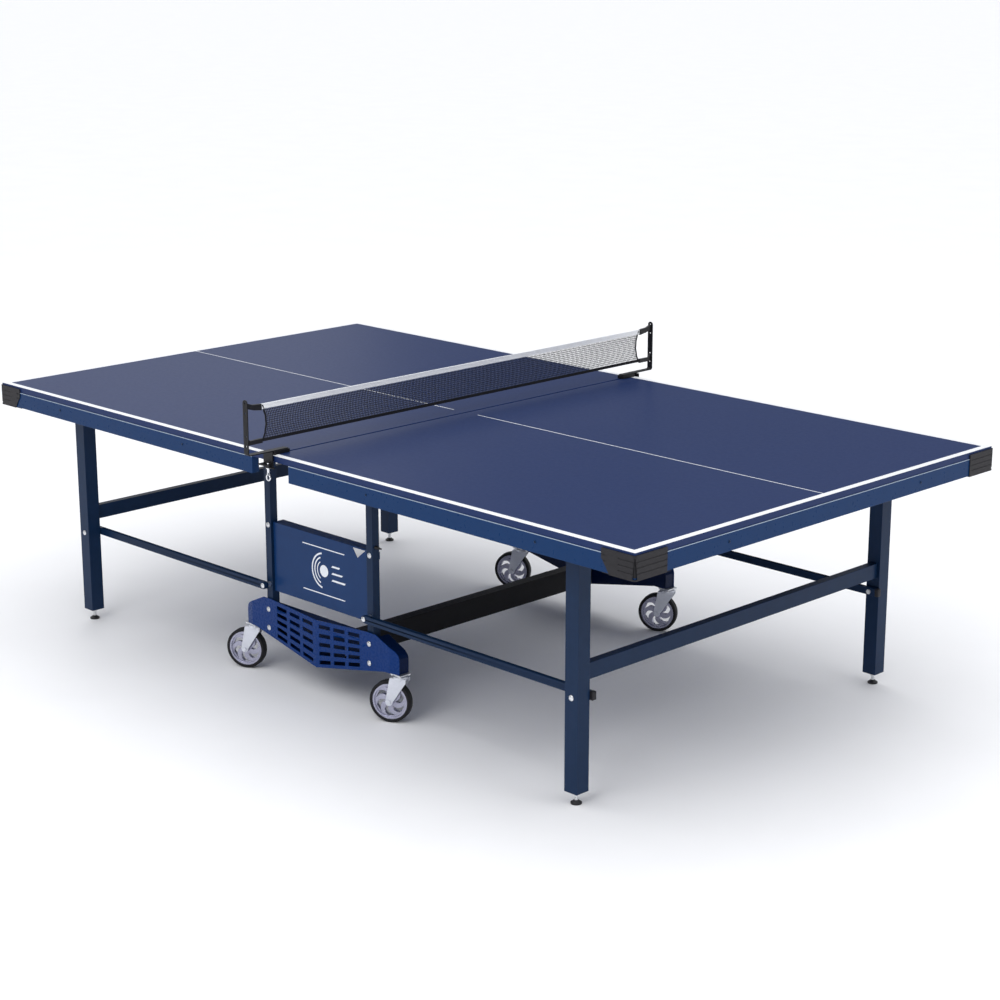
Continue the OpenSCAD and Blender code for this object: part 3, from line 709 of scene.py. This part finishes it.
def put_plate(bm, outline, y_front, thick):
    """A thin closed plate in the XZ plane from an outline of (x, z) points."""
    front = [bm.verts.new((x, y_front, z)) for x, z in outline]
    back = [bm.verts.new((x, y_front + thick, z)) for x, z in outline]
    put_tube(bm, [front, back])


def arc(centre, radius, start, stop, steps):
    """Points round a centre, from angle start to stop in degrees."""
    angles = [math.radians(start + (stop - start) * i / steps) for i in range(steps + 1)]
    return [(centre[0] + radius * math.cos(a), centre[1] + radius * math.sin(a)) for a in angles]


def arc_band(centre, inner, outer, half_angle):
    """Outline of a band between two radii, to the left of a centre."""
    start, stop = 180 - half_angle, 180 + half_angle
    back = arc(centre, inner, start, stop, ARC_STEPS)
    return arc(centre, outer, start, stop, ARC_STEPS) + list(reversed(back))


def leaning_bar(cx, z, start, stop, thick):
    """Outline of a bar whose ends lean forwards."""
    half = thick / 2
    lean = thick * BAR_LEAN
    return [
        (cx + start, z - half), (cx + stop, z - half),
        (cx + stop + lean, z + half), (cx + start + lean, z + half),
    ]


def make_emblem():
    """A plain printed device: a ball with arcs behind it, short bars and two rules."""
    low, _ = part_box("rack_panel")
    front = low.y - EMBLEM_PROUD
    cx, cz = EMBLEM_AT
    outlines = [arc_band(EMBLEM_AT, *values) for values in ARCS]
    outlines.append(arc(EMBLEM_AT, BALL_R, 0, 360, BALL_STEPS)[:-1])
    outlines += [leaning_bar(cx, cz + height, *values) for height, *values in BARS]

    def build(bm):
        for outline in outlines:
            put_plate(bm, outline, front, EMBLEM_THICK)

    mesh = mesh_from("panel_emblem", build, smooth=False)
    add_piece(mesh.name, mesh, ["emblem_ink"], "chassis")


# ---------- net ----------

# Height, half thickness and waist of the folded bands; waist is a share of the thickness.
TAPE_H, TAPE_HALF_T, TAPE_WAIST = 15 * MM, 1.5 * MM, 0.75
HEM_H, HEM_HALF_T, HEM_WAIST = 9 * MM, 1.3 * MM, 0.8
BAND_PAST = 2.6 * MM
BAND_FOLD = 1 * MM
BAND_STEPS = 80
# How much of the netting's wave the bands follow.
BAND_WAVE = 0.4

STRING_R, STRING_SIDES = 0.85 * MM, 4
KNOT_R = 1.35 * MM
PITCH = 6 * MM
OVERLAP = 1 * MM
LOOSE = 0.35 * MM
BOW = 14 * MM
NET_SEED = 7
# The slack netting's wave: its height, how fast it turns along and up the net, and from where.
WAVE_H = 0.9 * MM
WAVE_Y, WAVE_START = 23.0, 2.0
WAVE_Z, WAVE_FOOT = 29.0, 0.80

STITCH_GAP = 5 * MM
STITCH_HALF = STITCH_GAP * 0.32
STITCH_R = 0.3 * MM
STITCH_SUNK = 0.05 * MM
STITCH_INSET = 2 * MM
TAPE_STITCH_UP, HEM_STITCH_DOWN = 2.5 * MM, 2.2 * MM

CORD_R, CORD_FLAT, CORD_SIDES = 3.0 * MM, 0.6, 10
CORD_STEPS = 32
CORD_INSET = 3 * MM
CORD_WOBBLE, CORD_TURN = 0.6 * MM, 0.8


def net_side(z, low, high):
    """Half-width of the net at height z, bowed in between its two bands."""
    t = (z - low.z) / (high.z - low.z)
    return high.y - BOW * math.sin(math.pi * t)


def net_wave(y, z):
    """How far the slack netting stands off its plane."""
    return WAVE_H * math.sin(y * WAVE_Y + WAVE_START) * math.sin((z - WAVE_FOOT) * WAVE_Z)


def net_grid(low, high, bottom, top):
    """The netting's crossing points: one list per upright string, slightly irregular."""
    rows = round((top - bottom) / PITCH)
    columns = 2 * round(high.y / PITCH)
    draws = random.Random(NET_SEED)
    grid = []
    for i in range(columns + 1):
        line = []
        for k in range(rows + 1):
            z = bottom - OVERLAP + (top - bottom + 2 * OVERLAP) * k / rows
            y = (2 * i / columns - 1) * (net_side(z, low, high) - OVERLAP)
            loose = 0.0 if k in (0, rows) or i in (0, columns) else LOOSE
            y += loose * draws.uniform(-1, 1)
            z += loose * draws.uniform(-1, 1)
            line.append(Vector((net_wave(y, z), y, z)))
        grid.append(line)
    return grid


def put_netting(bm, grid):
    """Square strings both ways through the grid, with a knot at each inner crossing."""
    for line in grid + [list(row) for row in zip(*grid)]:
        put_sweep(bm, line, STRING_SIDES, STRING_R, turn=math.pi / STRING_SIDES)
    for line in grid[1:-1]:
        for point in line[1:-1]:
            put_knot(bm, point, KNOT_R)


def put_band(bm, z0, z1, end, half_t, waist):
    """A folded band along the net, from height z0 to z1, thinner half-way up."""
    middle = (z0 + z1) / 2
    profile = [
        (-half_t, z0), (-half_t * waist, middle), (-half_t, z1 - BAND_FOLD), (-half_t / 2, z1),
        (half_t / 2, z1), (half_t, z1 - BAND_FOLD), (half_t * waist, middle), (half_t, z0),
    ]
    rings = []
    for i in range(BAND_STEPS + 1):
        y = -end + 2 * end * i / BAND_STEPS
        shift = net_wave(y, z0) * BAND_WAVE
        rings.append([bm.verts.new((x + shift, y, z)) for x, z in profile])
    put_tube(bm, rings)


def put_stitches(bm, z, end, half_t):
    """A row of raised stitches on both faces of a band, in the mesh's second material."""
    start = len(bm.faces)
    for i in range(int(2 * end / STITCH_GAP)):
        y = -end + STITCH_GAP * (i + 0.5)
        shift = net_wave(y, z) * BAND_WAVE
        for face in (-1, 1):
            x = shift + face * half_t
            low = (x - STITCH_R, y - STITCH_HALF, z - STITCH_R)
            high = (x + STITCH_R, y + STITCH_HALF, z + STITCH_R)
            put_box(bm, low, high)
    use_second_look(bm, start)


def net_piece(name, looks, build):
    """A piece that rides on the net set."""
    return add_piece(name, mesh_from(name, build), looks, "net_set")


def make_net():
    """The netting in place of the CAD's plate, with its tape, hems and side cords."""
    low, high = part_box("net")
    bottom, top = low.z + HEM_H, high.z - TAPE_H
    band_end, stitch_end = high.y + BAND_PAST, high.y - STITCH_INSET
    grid = net_grid(low, high, bottom, top)

    netting = net_piece("netting", ["net_fabric"], lambda bm: put_netting(bm, grid))
    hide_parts("net")

    def tape(bm):
        put_band(bm, top, high.z, band_end, TAPE_HALF_T, TAPE_WAIST)
        put_stitches(bm, top + TAPE_STITCH_UP, stitch_end, TAPE_HALF_T - STITCH_SUNK)

    def hem(bm):
        put_band(bm, low.z, bottom, band_end, HEM_HALF_T, HEM_WAIST)
        put_stitches(bm, bottom - HEM_STITCH_DOWN, stitch_end, HEM_HALF_T - STITCH_SUNK)

    made = [
        net_piece("net_top_tape", ["tape_fabric", "emblem_ink"], tape),
        net_piece("net_bottom_hem", ["hem_fabric", "net_fabric"], hem),
    ]
    for edge, sign in EDGES:
        points = []
        for k in range(CORD_STEPS + 1):
            z = low.z + CORD_INSET + (high.z - low.z - 2 * CORD_INSET) * k / CORD_STEPS
            y = net_side(z, low, high) + CORD_WOBBLE * math.sin(k * CORD_TURN)
            points.append(Vector((0, sign * y, z)))

        def side_cord(bm):
            put_sweep(bm, points, CORD_SIDES, CORD_R, flat=CORD_FLAT)

        made.append(net_piece(f"net_side_hem_{edge}", ["hem_fabric"], side_cord))


make_camera()
make_studio()
make_floor()
dress_cad()
for side_name, side_sign in SIDES:
    make_lines(side_name, side_sign)
    make_apron_screws(side_name, side_sign)
    make_lip_highlight_paint(side_name, side_sign)
    make_cap_gaskets(side_name, side_sign)
for side_name, side_sign in SIDES:
    for edge_name, _ in EDGES:
        make_link_plug(edge_name, side_name, side_sign)
make_emblem()
make_net()
